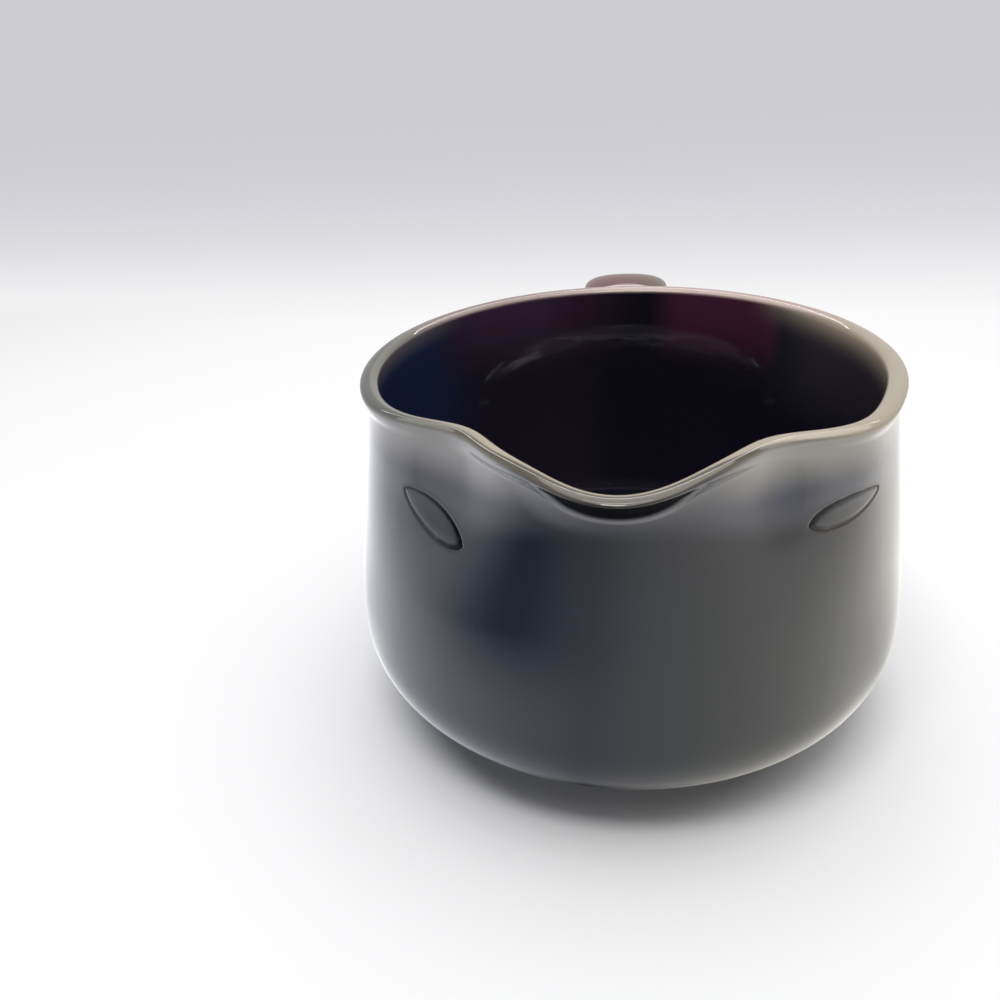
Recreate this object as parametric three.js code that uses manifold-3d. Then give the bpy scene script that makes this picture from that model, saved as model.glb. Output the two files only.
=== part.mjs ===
// A stoneware creamer: thrown bowl on a foot ring, pinched pouring lip, strap handle, dark glaze.
// Millimetres, +Z up. The lip points to -Y and the handle to +Y. Everything is made about the bowl's
// turning axis, and the whole is moved at the end so that the origin is in the plane of the foot's
// resting face, under the middle of the overall box.
import * as THREE from 'three';
import { mergeVertices } from 'three/addons/utils/BufferGeometryUtils.js';
import Module from 'manifold-3d';

const wasm = await Module();
wasm.setup();

// Rim and wall. Radii and heights are those of the finished, glazed surface.
const rimHeight = 62.3;
const rimRadius = 42.3;
const rimWidth = 3;
const rimCrown = 0.8;
const rimFlare = 0.6;
const neckDrop = 3;
const bellyRadius = 45.7;
const bellyHeight = 20.8;
const wallThickness = 3.2;
const floorThickness = 4;

// How far the wall's line runs straight on at the neck, above and below the belly, and at the base
const neckRun = 7.6;
const bellyRise = 11.9;
const bellyFall = 10.4;
const baseRun = 12.2;
const undersideSlope = THREE.MathUtils.degToRad(21);
const floorSlope = THREE.MathUtils.degToRad(7);

// Foot ring
const footRadius = 25.5;
const footHeight = 1.9;
const footWidth = 3.5;
const footChamfer = 0.5;

// Glaze, the hairline between it and the clay, and the clearances
const glazeThickness = 0.4;
const bondLine = 0.05;
const glazeSeam = 0.1;
const seatClearance = 0.3;

// Pouring lip: a pull at the front between two finger pinches, and a shoulder beside the right one.
// Each is a smooth swell or dent of the rim that fades to nothing at its reach below the rim.
// Angles and spreads are in degrees, from the front towards +X.
const lipRigidDepth = 0.8;
const lipPull = 7.6;
const lipReach = 8.7;
const leftPinch = 5.1;
const rightPinch = 4;
const shoulderSwell = 0.9;
const pinchReach = 26;
const lipForms = [
  { shift: lipPull, angle: -1.2, spread: 13.2, reach: lipReach },
  { shift: -leftPinch, angle: -38.8, spread: 14.6, reach: pinchReach },
  { shift: -rightPinch, angle: 31.8, spread: 13.5, reach: pinchReach },
  { shift: shoulderSwell, angle: 51.4, spread: 11.7, reach: pinchReach },
];

// Strap handle. Its middle line leaves the wall below the neck, levels out at its crown, comes down its
// back and turns in to the belly. The crown stands out from the rim, and the back from the belly.
const strapWidthUpper = 17;
const strapWidthLower = 14;
const strapThicknessUpper = 5.6;
const strapThicknessLower = 5;
const strapBluntness = 0.75;
const upperRootDrop = 10.3;
const upperRootSlope = THREE.MathUtils.degToRad(42);
const upperRootRun = 5.5;
const crownOut = 12;
const crownDrop = 1.8;
const backOut = 19.6;
const backHeight = 42;
const strapFullness = 0.56;
const lowerRootHeight = 20;
const lowerRootSlope = THREE.MathUtils.degToRad(24);
const lowerRootRun = 12;
const rootDepth = 1.6;

// Clay worked round each end of the strap
const jointFlare = 2.4;
const jointLength = 4.2;
const jointFeather = 0.5;

// Leaf-shaped marks in the outer glaze: drop is below the rim, angle and tilt are in degrees
const leftMarkDrop = 12.3;
const leftMarkLength = 14;
const leftMarkHeight = 4.4;
const rightMarkDrop = 11.3;
const rightMarkLength = 14;
const rightMarkHeight = 3.6;
const markCutDepth = 8;
const leafFullness = 0.6;

// Share of its handles' height that a leaf's curve reaches at its middle
const leafCurvePeak = 0.75;
const leftMark = {
  name: 'glaze_mark_left',
  angle: -40.9,
  tilt: -18.5,
  drop: leftMarkDrop,
  length: leftMarkLength,
  height: leftMarkHeight,
};
const rightMark = {
  name: 'glaze_mark_right',
  angle: 45.6,
  tilt: 5.5,
  drop: rightMarkDrop,
  length: rightMarkLength,
  height: rightMarkHeight,
};
const marks = [leftMark, rightMark];

// Fineness of the surfaces
const lipSteps = 26;
const backSteps = 24;
const lipSpan = THREE.MathUtils.degToRad(66);
const lowerSteps = 7;
const upperSteps = 7;
const upperCrowding = 1.7;
const crownSteps = 4;
const brimSteps = 3;
const strapSides = 16;
const strapSteps = 18;
const jointSteps = 6;
const leafSteps = 6;

// Angles at which every surface of revolution has its stations, finer across the lip
const angles = [
  ...Array.from({ length: lipSteps }, (_, i) => -lipSpan + (2 * lipSpan * i) / lipSteps),
  ...Array.from({ length: backSteps }, (_, i) => lipSpan + (2 * (Math.PI - lipSpan) * i) / backSteps),
];

// Shift of the wall at an angle and height, from the potter's pull and pinches
function lipShift(angle, height) {
  const depth = Math.max(0, rimHeight - height - lipRigidDepth);
  return lipForms.reduce((sum, form) => {
    const fade = Math.max(0, 1 - depth / form.reach) ** 2;
    const apart = (THREE.MathUtils.radToDeg(angle) - form.angle) / form.spread;
    return sum + form.shift * fade * Math.exp(-apart * apart);
  }, 0);
}

// A point of the wall's section, turned to an angle and moved by the lip
function place(point, angle) {
  const turned = angle > Math.PI ? angle - 2 * Math.PI : angle;
  const radius = point.x > 0 ? point.x + lipShift(turned, point.y) : 0;
  return new THREE.Vector3(radius * Math.sin(angle), -radius * Math.cos(angle), point.y);
}

// One side of the wall as section points from its base up to the neck, closer together near the lip
function sidePoints(neck, belly, base, slope) {
  const lower = new THREE.CubicBezierCurve(
    base,
    new THREE.Vector2(base.x + baseRun * Math.cos(slope), base.y + baseRun * Math.sin(slope)),
    new THREE.Vector2(belly.x, belly.y - bellyFall),
    belly,
  );
  const upper = new THREE.CubicBezierCurve(
    belly,
    new THREE.Vector2(belly.x, belly.y + bellyRise),
    new THREE.Vector2(neck.x, neck.y - neckRun),
    neck,
  );
  const climb = Array.from({ length: upperSteps }, (_, i) => {
    const left = 1 - (i + 1) / upperSteps;
    return upper.getPoint(1 - left ** upperCrowding);
  });
  return [...lower.getSpacedPoints(lowerSteps), ...climb];
}

const neckHeight = rimHeight - neckDrop;
const neckRadius = rimRadius - rimFlare;
const innerNeckRadius = rimRadius - rimWidth;
const floorHeight = footHeight + floorThickness;

const outsidePoints = sidePoints(
  new THREE.Vector2(neckRadius, neckHeight),
  new THREE.Vector2(bellyRadius, bellyHeight),
  new THREE.Vector2(footRadius, footHeight),
  undersideSlope,
);
const insidePoints = sidePoints(
  new THREE.Vector2(innerNeckRadius, neckHeight),
  new THREE.Vector2(bellyRadius - wallThickness, bellyHeight),
  new THREE.Vector2(footRadius - wallThickness, floorHeight),
  floorSlope,
).reverse();

// The rim, from neck to neck: up its flared outer side, over the domed top and down its inner side
const crown = new THREE.EllipseCurve(
  rimRadius - rimWidth / 2, rimHeight - rimCrown, rimWidth / 2, rimCrown, 0, Math.PI,
).getPoints(crownSteps);
const brim = Array.from({ length: brimSteps - 1 }, (_, i) => (i + 1) / brimSteps);
const outerBrim = brim.map((share) => outsidePoints.at(-1).clone().lerp(crown[0], share));
const innerBrim = brim.map((share) => crown.at(-1).clone().lerp(insidePoints[0], share));
const rimPoints = [...outerBrim, ...crown, ...innerBrim];

// The finished section: up the outside, over the rim, down the inside to the middle of the floor
const finish = [...outsidePoints, ...rimPoints, ...insidePoints, new THREE.Vector2(0, floorHeight)];
const neckOutside = outsidePoints.length - 1;
const neckInside = neckOutside + rimPoints.length + 1;
const crownTop = neckOutside + brimSteps + crownSteps / 2;

// The section moved into the clay by a distance, square to the surface
function sunk(distance) {
  return finish.map((point, i) => {
    const before = finish[Math.max(i - 1, 0)];
    const after = finish[Math.min(i + 1, finish.length - 1)];
    const along = after.clone().sub(before).normalize();
    const inward = new THREE.Vector2(-along.y, along.x);
    const moved = point.clone().addScaledVector(inward, distance);
    return point.x > 0 ? moved : new THREE.Vector2(0, point.y - distance);
  });
}

const coatBack = sunk(glazeThickness);
const clayFace = sunk(glazeThickness + bondLine);

// The stations of a section as rings of points about the axis; a point on the axis is one pole
function ringsOf(section) {
  return section.map((point) => (point.x > 0 ? angles : [0]).map((angle) => place(point, angle)));
}

// A closed solid over rings whose section runs counterclockwise. From the ring turnAt on, the section
// runs back down, and its facets are split the other way, so that they lie parallel to those in front.
function skin(rings, closed, turnAt = rings.length) {
  const firsts = rings.map((_, j) => rings.slice(0, j).reduce((sum, ring) => sum + ring.length, 0));
  const index = [];
  const spans = closed ? rings.length : rings.length - 1;
  for (let j = 0; j < spans; j += 1) {
    const k = (j + 1) % rings.length;
    for (let i = 0; i < angles.length; i += 1) {
      const next = (i + 1) % angles.length;
      const low = firsts[j] + (i % rings[j].length);
      const lowNext = firsts[j] + (next % rings[j].length);
      const high = firsts[k] + (i % rings[k].length);
      const highNext = firsts[k] + (next % rings[k].length);
      const splitUp = j < turnAt;
      if (low !== lowNext) index.push(low, lowNext, splitUp ? highNext : high);
      if (high !== highNext) index.push(splitUp ? low : lowNext, highNext, high);
    }
  }
  return solidGeometry(rings.flat().flatMap((point) => point.toArray()), index);
}

function revolve(section, closed) {
  return skin(ringsOf(section), closed);
}

function solidGeometry(positions, index) {
  const geometry = new THREE.BufferGeometry();
  geometry.setAttribute('position', new THREE.Float32BufferAttribute(positions, 3));
  geometry.setIndex(index);
  geometry.computeVertexNormals();
  return geometry;
}

// A ring drawn back towards its neighbour along the surface
function drawBack(ring, neighbour, gap) {
  return ring.map((point, i) => {
    const towards = neighbour[i % neighbour.length];
    return point.clone().addScaledVector(towards.clone().sub(point).normalize(), gap);
  });
}

// A coat of glaze between two stations of the section
function coat(from, to, startGap, endGap) {
  const [front, back] = [finish, coatBack].map((section) => {
    const rings = ringsOf(section.slice(from, to + 1));
    const first = drawBack(rings[0], rings[1], startGap);
    const last = endGap > 0 ? drawBack(rings.at(-1), rings.at(-2), endGap) : rings.at(-1);
    return [first, ...rings.slice(1, -1), last];
  });
  return skin([...front, ...back.reverse()], true, front.length);
}

// Booleans
function toSolid(geometry) {
  const bare = geometry.clone();
  bare.deleteAttribute('normal');
  bare.deleteAttribute('uv');
  const merged = mergeVertices(bare);
  return new wasm.Manifold(new wasm.Mesh({
    numProp: 3,
    vertProperties: new Float32Array(merged.attributes.position.array),
    triVerts: new Uint32Array(merged.index.array),
  }));
}

function toGeometry(solid) {
  const mesh = solid.getMesh();
  return solidGeometry(Array.from(mesh.vertProperties), Array.from(mesh.triVerts));
}

// Radius of the finished outside at a height
function outsideRadius(height) {
  const above = outsidePoints.findIndex((point) => point.y >= height);
  const upper = outsidePoints[Math.max(above, 1)];
  const lower = outsidePoints[Math.max(above, 1) - 1];
  return lower.x + ((upper.x - lower.x) * (height - lower.y)) / (upper.y - lower.y);
}

// Everything inside the clay's outer face, grown by a clearance, for cutting what seats on it
function wallCutter(clearance) {
  const face = sunk(glazeThickness + bondLine - clearance).slice(0, crownTop + 1);
  const bottom = new THREE.Vector2(0, face[0].y);
  const top = new THREE.Vector2(0, face.at(-1).y);
  return toSolid(revolve([bottom, ...face, top], false));
}

// The strap's middle line, in the plane x = 0, from inside the neck to inside the belly
const rootSink = glazeThickness + rootDepth;
const upperRootHeight = rimHeight - upperRootDrop;
const upperRoot = new THREE.Vector3(0, outsideRadius(upperRootHeight) - rootSink, upperRootHeight);
const lowerRoot = new THREE.Vector3(0, outsideRadius(lowerRootHeight) - rootSink, lowerRootHeight);
const crownHeight = rimHeight - crownDrop - strapThicknessUpper / 2;
const strapCrown = new THREE.Vector3(0, rimRadius + crownOut, crownHeight);
const strapBack = new THREE.Vector3(0, bellyRadius + backOut, backHeight);

// A control point of the line, so far out and so far up from an end of it
function beside(point, out, up) {
  return new THREE.Vector3(0, point.y + out, point.z + up);
}

const crownRun = strapFullness * (strapBack.y - strapCrown.y);
const strapLine = new THREE.CurvePath();
strapLine.add(new THREE.CubicBezierCurve3(
  upperRoot,
  beside(upperRoot, upperRootRun * Math.cos(upperRootSlope), upperRootRun * Math.sin(upperRootSlope)),
  beside(strapCrown, -crownRun, 0),
  strapCrown,
));
strapLine.add(new THREE.CubicBezierCurve3(
  strapCrown,
  beside(strapCrown, crownRun, 0),
  beside(strapBack, 0, strapFullness * (strapCrown.z - strapBack.z)),
  strapBack,
));
strapLine.add(new THREE.CubicBezierCurve3(
  strapBack,
  beside(strapBack, 0, -strapFullness * (strapBack.z - lowerRoot.z)),
  beside(lowerRoot, lowerRootRun * Math.cos(lowerRootSlope), lowerRootRun * Math.sin(lowerRootSlope)),
  lowerRoot,
));
const strapLength = strapLine.getLength();

// The strap's outline at a share of its length, grown all round: an oval with blunt ends
function strapRing(share, growth) {
  const centre = strapLine.getPointAt(share);
  const along = strapLine.getTangentAt(share);
  const across = new THREE.Vector3(1, 0, 0);
  const outward = new THREE.Vector3().crossVectors(across, along);
  const halfWidth = THREE.MathUtils.lerp(strapWidthUpper, strapWidthLower, share) / 2 + growth;
  const halfThickness = THREE.MathUtils.lerp(strapThicknessUpper, strapThicknessLower, share) / 2 + growth;
  return Array.from({ length: strapSides }, (_, i) => {
    const turn = (2 * Math.PI * i) / strapSides;
    const blunt = (value) => Math.sign(value) * Math.abs(value) ** strapBluntness;
    return centre.clone()
      .addScaledVector(across, halfWidth * blunt(Math.cos(turn)))
      .addScaledVector(outward, halfThickness * blunt(Math.sin(turn)));
  });
}

// Rings joined into a closed solid with flat ends, or into a sleeve where the rings make a loop
function loft(rings, looped) {
  const sides = strapSides;
  const positions = rings.flat().flatMap((point) => point.toArray());
  const index = [];
  const spans = looped ? rings.length : rings.length - 1;
  for (let j = 0; j < spans; j += 1) {
    const next = (j + 1) % rings.length;
    for (let i = 0; i < sides; i += 1) {
      const side = (i + 1) % sides;
      index.push(j * sides + i, next * sides + i, next * sides + side);
      index.push(j * sides + i, next * sides + side, j * sides + side);
    }
  }
  const lastRing = (rings.length - 1) * sides;
  for (let i = 1; i < sides - 1 && !looped; i += 1) {
    index.push(0, i, i + 1);
    index.push(lastRing, lastRing + i + 1, lastRing + i);
  }
  return solidGeometry(positions, index);
}

function shares(from, to, steps) {
  return Array.from({ length: steps + 1 }, (_, i) => from + ((to - from) * i) / steps);
}

// Stations of the strap: its two roots, and between them the length that its coat covers
const jointEnd = (rootDepth + jointLength) / strapLength;
const coatStart = jointEnd + seatClearance / strapLength;
const strapStations = [0, ...shares(coatStart, 1 - coatStart, strapSteps), 1];

function strapSolid(growth) {
  return toSolid(loft(strapStations.map((share) => strapRing(share, growth)), false));
}

// The clay worked round one end of the strap: widest at the wall, feathered out along the strap
function jointSolid(atTop, growth) {
  const wallShare = rootDepth / strapLength;
  const rings = shares(0, jointEnd, jointSteps).map((share) => {
    const outwards = THREE.MathUtils.clamp((share - wallShare) / (jointEnd - wallShare), 0, 1);
    const flare = jointFeather + (jointFlare - jointFeather) * (1 - outwards) ** 2;
    return strapRing(atTop ? share : 1 - share, flare + growth);
  });
  return toSolid(loft(atTop ? rings : rings.reverse(), false));
}

function jointGeometry(atTop) {
  const collar = jointSolid(atTop, 0);
  return toGeometry(collar.subtract(strapSolid(seatClearance)).subtract(wallCutter(seatClearance)));
}

// The coat round the strap, a sleeve from one joint to the other
function strapCoat() {
  const stations = strapStations.slice(1, -1);
  const outer = stations.map((share) => strapRing(share, bondLine + glazeThickness));
  const inner = stations.map((share) => strapRing(share, bondLine));
  return loft([...outer, ...inner.reverse()], true);
}

// A leaf-shaped prism through the outer coat at one mark, grown all round
function markSolid(mark, growth) {
  const half = mark.length / 2 + growth;
  const bulge = (mark.height / 2 + growth) / leafCurvePeak;
  const full = half * leafFullness;
  const leaf = new THREE.Shape();
  leaf.moveTo(-half, 0);
  leaf.bezierCurveTo(-full, -bulge, full, -bulge, half, 0);
  leaf.bezierCurveTo(full, bulge, -full, bulge, -half, 0);
  const prism = new THREE.ExtrudeGeometry(
    leaf,
    { depth: markCutDepth, bevelEnabled: false, curveSegments: leafSteps },
  );
  const angle = THREE.MathUtils.degToRad(mark.angle);
  const height = rimHeight - mark.drop;
  const outward = new THREE.Vector3(Math.sin(angle), -Math.cos(angle), 0);
  const sideways = new THREE.Vector3(Math.cos(angle), Math.sin(angle), 0);
  const up = new THREE.Vector3(0, 0, 1);
  prism.translate(0, 0, -markCutDepth / 2);
  prism.rotateZ(THREE.MathUtils.degToRad(mark.tilt));
  prism.applyMatrix4(new THREE.Matrix4().makeBasis(sideways, up, outward));
  const centre = place(new THREE.Vector2(outsideRadius(height), height), angle);
  prism.translate(centre.x, centre.y, centre.z);
  return toSolid(prism);
}

// Materials
const clay = new THREE.MeshStandardMaterial({ color: 0x8d6a4f, roughness: 0.85, metalness: 0 });
const blackGlaze = new THREE.MeshStandardMaterial({ color: 0x0c0d10, roughness: 0.08, metalness: 0 });
const rimGlaze = new THREE.MeshStandardMaterial({ color: 0x6e6650, roughness: 0.12, metalness: 0 });
const liningGlaze = new THREE.MeshStandardMaterial({ color: 0x120a0e, roughness: 0.08, metalness: 0 });

const creamer = new THREE.Group();
function add(name, geometry, material) {
  const mesh = new THREE.Mesh(geometry, material.clone());
  mesh.name = name;
  creamer.add(mesh);
}

// Clay bowl
const baseHeight = footHeight + bondLine;
add('bowl', revolve([
  new THREE.Vector2(0, baseHeight),
  new THREE.Vector2(clayFace[0].x, baseHeight),
  ...clayFace,
], false), clay);

// Foot ring, chamfered where it rests
const footInner = footRadius - footWidth;
add('foot_ring', revolve([
  new THREE.Vector2(footInner, footChamfer),
  new THREE.Vector2(footInner + footChamfer, 0),
  new THREE.Vector2(footRadius - footChamfer, 0),
  new THREE.Vector2(footRadius, footChamfer),
  new THREE.Vector2(footRadius, footHeight),
  new THREE.Vector2(footInner, footHeight),
], true), clay);

// Handle and the clay round its two ends
add('handle', toGeometry(strapSolid(0).subtract(wallCutter(seatClearance))), clay);
add('handle_joint_upper', jointGeometry(true), blackGlaze);
add('handle_joint_lower', jointGeometry(false), blackGlaze);

// Glaze
const wholeOutside = toSolid(coat(0, neckOutside, glazeSeam, glazeSeam));
const openings = [
  jointSolid(true, seatClearance),
  jointSolid(false, seatClearance),
  ...marks.map((mark) => markSolid(mark, seatClearance)),
];
const openedOutside = openings.reduce((rest, opening) => rest.subtract(opening), wholeOutside);
add('glaze_outside', toGeometry(openedOutside), blackGlaze);
marks.forEach((mark) => add(mark.name, toGeometry(wholeOutside.intersect(markSolid(mark, 0))), blackGlaze));
add('glaze_rim', coat(neckOutside, neckInside, 0, 0), rimGlaze);
add('glaze_inside', coat(neckInside, finish.length - 1, glazeSeam, 0), liningGlaze);
add('glaze_handle', strapCoat(), blackGlaze);
add('glaze_well', revolve([
  new THREE.Vector2(0, footHeight - glazeThickness),
  new THREE.Vector2(footInner - glazeSeam, footHeight - glazeThickness),
  new THREE.Vector2(footInner - glazeSeam, footHeight),
  new THREE.Vector2(0, footHeight),
], false), blackGlaze);

// The origin under the middle of the overall box
const middle = new THREE.Box3().setFromObject(creamer).getCenter(new THREE.Vector3());
creamer.position.set(-middle.x, -middle.y, 0);

export default creamer;
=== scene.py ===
import math

import bmesh
import bpy
import numpy as np
from mathutils import Matrix, Vector


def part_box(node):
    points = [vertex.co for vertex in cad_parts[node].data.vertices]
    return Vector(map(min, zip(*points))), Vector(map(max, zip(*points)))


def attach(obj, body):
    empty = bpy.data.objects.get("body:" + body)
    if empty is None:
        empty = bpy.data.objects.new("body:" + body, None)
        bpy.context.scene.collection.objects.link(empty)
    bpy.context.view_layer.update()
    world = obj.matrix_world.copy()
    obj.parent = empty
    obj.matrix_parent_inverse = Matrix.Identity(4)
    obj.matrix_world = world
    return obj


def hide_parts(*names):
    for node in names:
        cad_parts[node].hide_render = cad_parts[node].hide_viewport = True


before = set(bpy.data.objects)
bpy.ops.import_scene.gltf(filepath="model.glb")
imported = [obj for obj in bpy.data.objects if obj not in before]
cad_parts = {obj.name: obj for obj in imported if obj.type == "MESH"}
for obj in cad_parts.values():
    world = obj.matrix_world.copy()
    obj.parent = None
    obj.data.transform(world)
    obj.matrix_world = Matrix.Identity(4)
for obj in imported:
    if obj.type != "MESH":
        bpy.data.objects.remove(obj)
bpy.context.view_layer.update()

mm = 0.001
rim_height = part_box("glaze_rim")[1].z
foot_low, foot_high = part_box("foot_ring")
axis_y = (foot_low.y + foot_high.y) / 2
foot_radius = (foot_high.y - foot_low.y) / 2
foot_height = foot_high.z

rim_radius = 42.3 * mm
rim_width = 3 * mm
rim_crown = 0.8 * mm
rim_flare = 0.6 * mm
neck_drop = 3 * mm
brim_run = 0.9 * mm
belly_radius = 45.7 * mm
belly_height = 20.8 * mm
wall_thickness = 3.2 * mm
floor_thickness = 4 * mm
neck_run = 7.6 * mm
belly_rise = 11.9 * mm
belly_fall = 10.4 * mm
base_run = 12.2 * mm
underside_slope = math.radians(21)
floor_slope = math.radians(7)
coat_thickness = 0.4 * mm
bead_height = 0.25 * mm
bead_width = 0.9 * mm

# Throwing lines inside: how far each lies below the rim, its depth and its width
throwing_lines = [
    (11 * mm, 0.012 * mm, 1.2 * mm),
    (19 * mm, 0.004 * mm, 2.4 * mm),
    (30 * mm, 0.006 * mm, 2.8 * mm),
]


def bezier(start, leave, arrive, end, steps=160):
    """Places along a cubic curve, of one point or of a whole ring of points at once."""
    start, leave, arrive, end = (np.array(point, float) for point in (start, leave, arrive, end))
    share = np.linspace(0, 1, steps).reshape(-1, *[1] * start.ndim)
    rest = 1 - share
    return rest**3 * start + 3 * rest**2 * share * leave + 3 * rest * share**2 * arrive + share**3 * end


def wall_side(neck, belly, base, slope):
    """One side of the wall's section, from its base out to the belly and up to the neck."""
    leave = (base[0] + base_run * math.cos(slope), base[1] + base_run * math.sin(slope))
    lower = bezier(base, leave, (belly[0], belly[1] - belly_fall), belly)
    upper = bezier(belly, (belly[0], belly[1] + belly_rise), (neck[0], neck[1] - neck_run), neck)
    return np.vstack([lower, upper[1:]])


neck_radius = rim_radius - rim_flare
neck_height = rim_height - neck_drop
floor_height = foot_height + floor_thickness
crown_height = rim_height - rim_crown
outside = wall_side(
    (neck_radius, neck_height), (belly_radius, belly_height), (foot_radius, foot_height), underside_slope
)
inside = wall_side(
    (rim_radius - rim_width, neck_height),
    (belly_radius - wall_thickness, belly_height),
    (foot_radius - wall_thickness, floor_height),
    floor_slope,
)
brim = bezier(
    (neck_radius, neck_height),
    (neck_radius, neck_height + brim_run),
    (rim_radius, crown_height - brim_run),
    (rim_radius, crown_height),
)
sweep = np.linspace(0, math.pi, 60)
dome = np.column_stack([
    rim_radius - rim_width / 2 + rim_width / 2 * np.cos(sweep),
    crown_height + rim_crown * np.sin(sweep),
])
section = np.vstack([outside, brim[1:], dome[1:], inside[::-1], [[0, floor_height]]])


def run_of(points):
    """How far along a line each of its points lies."""
    return np.concatenate([[0], np.cumsum(np.linalg.norm(np.diff(points, axis=0), axis=1))])


def side_of(points):
    """The outward side of a section that runs up the outside and down the inside."""
    along = np.gradient(points, axis=0)
    side = np.column_stack([along[:, 1], -along[:, 0]])
    return side / np.linalg.norm(side, axis=1)[:, None]


def at_run(where, run, values):
    """Columns of values, given along a run, at other places of it."""
    return np.column_stack([np.interp(where, run, column) for column in values.T])


def stations(edges_and_steps):
    """Places from one edge to the next, each stretch with its own step."""
    stretches = [
        np.linspace(start, end, max(1, round((end - start) / step)), endpoint=False)
        for (start, step), (end, _) in zip(edges_and_steps, edges_and_steps[1:])
    ]
    return np.concatenate(stretches)


# Where each stretch of rows begins along the section, and how far apart its rows are: close together
# at the foot line, across the two marks and over the rim
section_run = run_of(section)
neck_at = section_run[len(outside) - 1]
inner_neck_at = section_run[len(outside) + len(brim) + len(dome) - 3]
brim_at = section_run[len(outside) + len(brim) - 2]
dome_run = inner_neck_at - brim_at
mark_from = neck_at - 15 * mm
mark_to = neck_at - 4.4 * mm
row_run = stations([
    (0, 0.3 * mm),
    (3 * mm, 1.2 * mm),
    (mark_from, 0.22 * mm),
    (mark_to, 0.7 * mm),
    (neck_at, 0.25 * mm),
    (inner_neck_at, 0.5 * mm),
    (inner_neck_at + 13 * mm, 1.6 * mm),
    (section_run[-1], 0),
])
row_run = np.append(row_run, section_run[-1])
rows = at_run(row_run, section_run, section)
row_side = at_run(row_run, section_run, side_of(section))
row_side[-1] = (0, 1)
in_lining = row_run > (neck_at + inner_neck_at) / 2
below_rim = rim_height - rows[:, 1]
grooves = sum(
    depth * np.exp(-(((below_rim - drop) / width) ** 2)) for drop, depth, width in throwing_lines
)
bead = bead_height * np.exp(-((row_run / bead_width) ** 2))
rows = rows + row_side * (bead - grooves * in_lining)[:, None]

# The two marks: where each lies and how it leans, its size, and how much painted shade its groove gets. A
# mark's round end is the one by the lip.
mark_span = math.radians(11.5)
left_mark = {
    "angle": math.radians(-40.9),
    "tilt": math.radians(-18.5),
    "drop": 12.3 * mm,
    "length": 14 * mm,
    "height": 4.4 * mm,
    "round_end": 1,
    "dark": 1.15,
}
right_mark = {
    "angle": math.radians(45.6),
    "tilt": math.radians(5.5),
    "drop": 11.3 * mm,
    "length": 14 * mm,
    "height": 3.6 * mm,
    "round_end": -1,
    "dark": 0.75,
}

# Columns go once round from the back, close together across the two marks
columns = stations([
    (-math.pi, math.radians(1.8)),
    (left_mark["angle"] - mark_span, math.radians(0.3)),
    (left_mark["angle"] + mark_span, math.radians(0.8)),
    (right_mark["angle"] - mark_span, math.radians(0.3)),
    (right_mark["angle"] + mark_span, math.radians(1.8)),
    (math.pi, 0),
])

# Each mark is a leaf-shaped hollow in the coat, round at its end by the lip and pointed at the other
hollow_depth = 0.36 * mm
hollow_edge = 0.25 * mm
hollow_margin = 0.07 * mm
# How far round each hollow the glaze is rougher and takes painted shade
rough_and_shaded_edge = 0.8 * mm
leaf_bluntness = 0.6
leaf_lean = 0.2
leaf_peak = 1.016


def leaf_half(share):
    """Half the leaf's height at a share of its length from -1, its point, to 1, its round end."""
    return (1 - share**2) ** leaf_bluntness * (1 + leaf_lean * share) / leaf_peak / 2


def inside_leaf(mark, angle, height):
    """How far inside a mark's outline a point of the wall lies."""
    sideways = (angle - mark["angle"]) * neck_radius
    up = height - (rim_height - mark["drop"])
    along = sideways * math.cos(mark["tilt"]) + up * math.sin(mark["tilt"])
    across = up * math.cos(mark["tilt"]) - sideways * math.sin(mark["tilt"])
    half_length = mark["length"] / 2
    share = np.clip(mark["round_end"] * along / half_length, -1, 1)
    beyond = np.maximum(np.abs(along) - half_length, 0)
    return mark["height"] * leaf_half(share) - np.hypot(across, beyond)


def soft_step(value):
    """0 at 0 and 1 at 1, with a smooth rise between."""
    share = np.clip(value, 0, 1)
    return share * share * (3 - 2 * share)


def turned(radius, angle, height):
    """Points about the turning axis; the angle runs from the front towards +X."""
    radius, angle, height = np.broadcast_arrays(radius, angle, height)
    return np.stack([radius * np.sin(angle), -radius * np.cos(angle), height], axis=-1)


merge_within = 1e-7


def skin(name, rings, looped=False, **attributes):
    """A closed mesh over rings of points. Its ends are drawn together to a point, or meet in a loop."""
    ring_count, side_count = rings.shape[:2]
    strip_count = ring_count if looped else ring_count - 1
    ring, side = np.meshgrid(np.arange(strip_count), np.arange(side_count), indexing="ij")
    next_ring = (ring + 1) % ring_count * side_count
    next_side = (side + 1) % side_count
    ring = ring * side_count
    corners = np.stack([ring + side, ring + next_side, next_ring + next_side, next_ring + side], axis=-1)
    mesh = bpy.data.meshes.new(name)
    mesh.from_pydata(rings.reshape(-1, 3).tolist(), [], corners.reshape(-1, 4).tolist())
    for label, values in attributes.items():
        values = np.broadcast_to(values, rings.shape[:2]).astype(np.float32)
        mesh.attributes.new(label, "FLOAT", "POINT").data.foreach_set("value", values.ravel())
    surface = bmesh.new()
    surface.from_mesh(mesh)
    bmesh.ops.remove_doubles(surface, verts=surface.verts, dist=merge_within)
    if surface.calc_volume(signed=True) < 0:
        bmesh.ops.reverse_faces(surface, faces=surface.faces)
    surface.to_mesh(mesh)
    surface.free()
    mesh.shade_smooth()
    piece = bpy.data.objects.new(name, mesh)
    bpy.context.scene.collection.objects.link(piece)
    return piece


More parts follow.
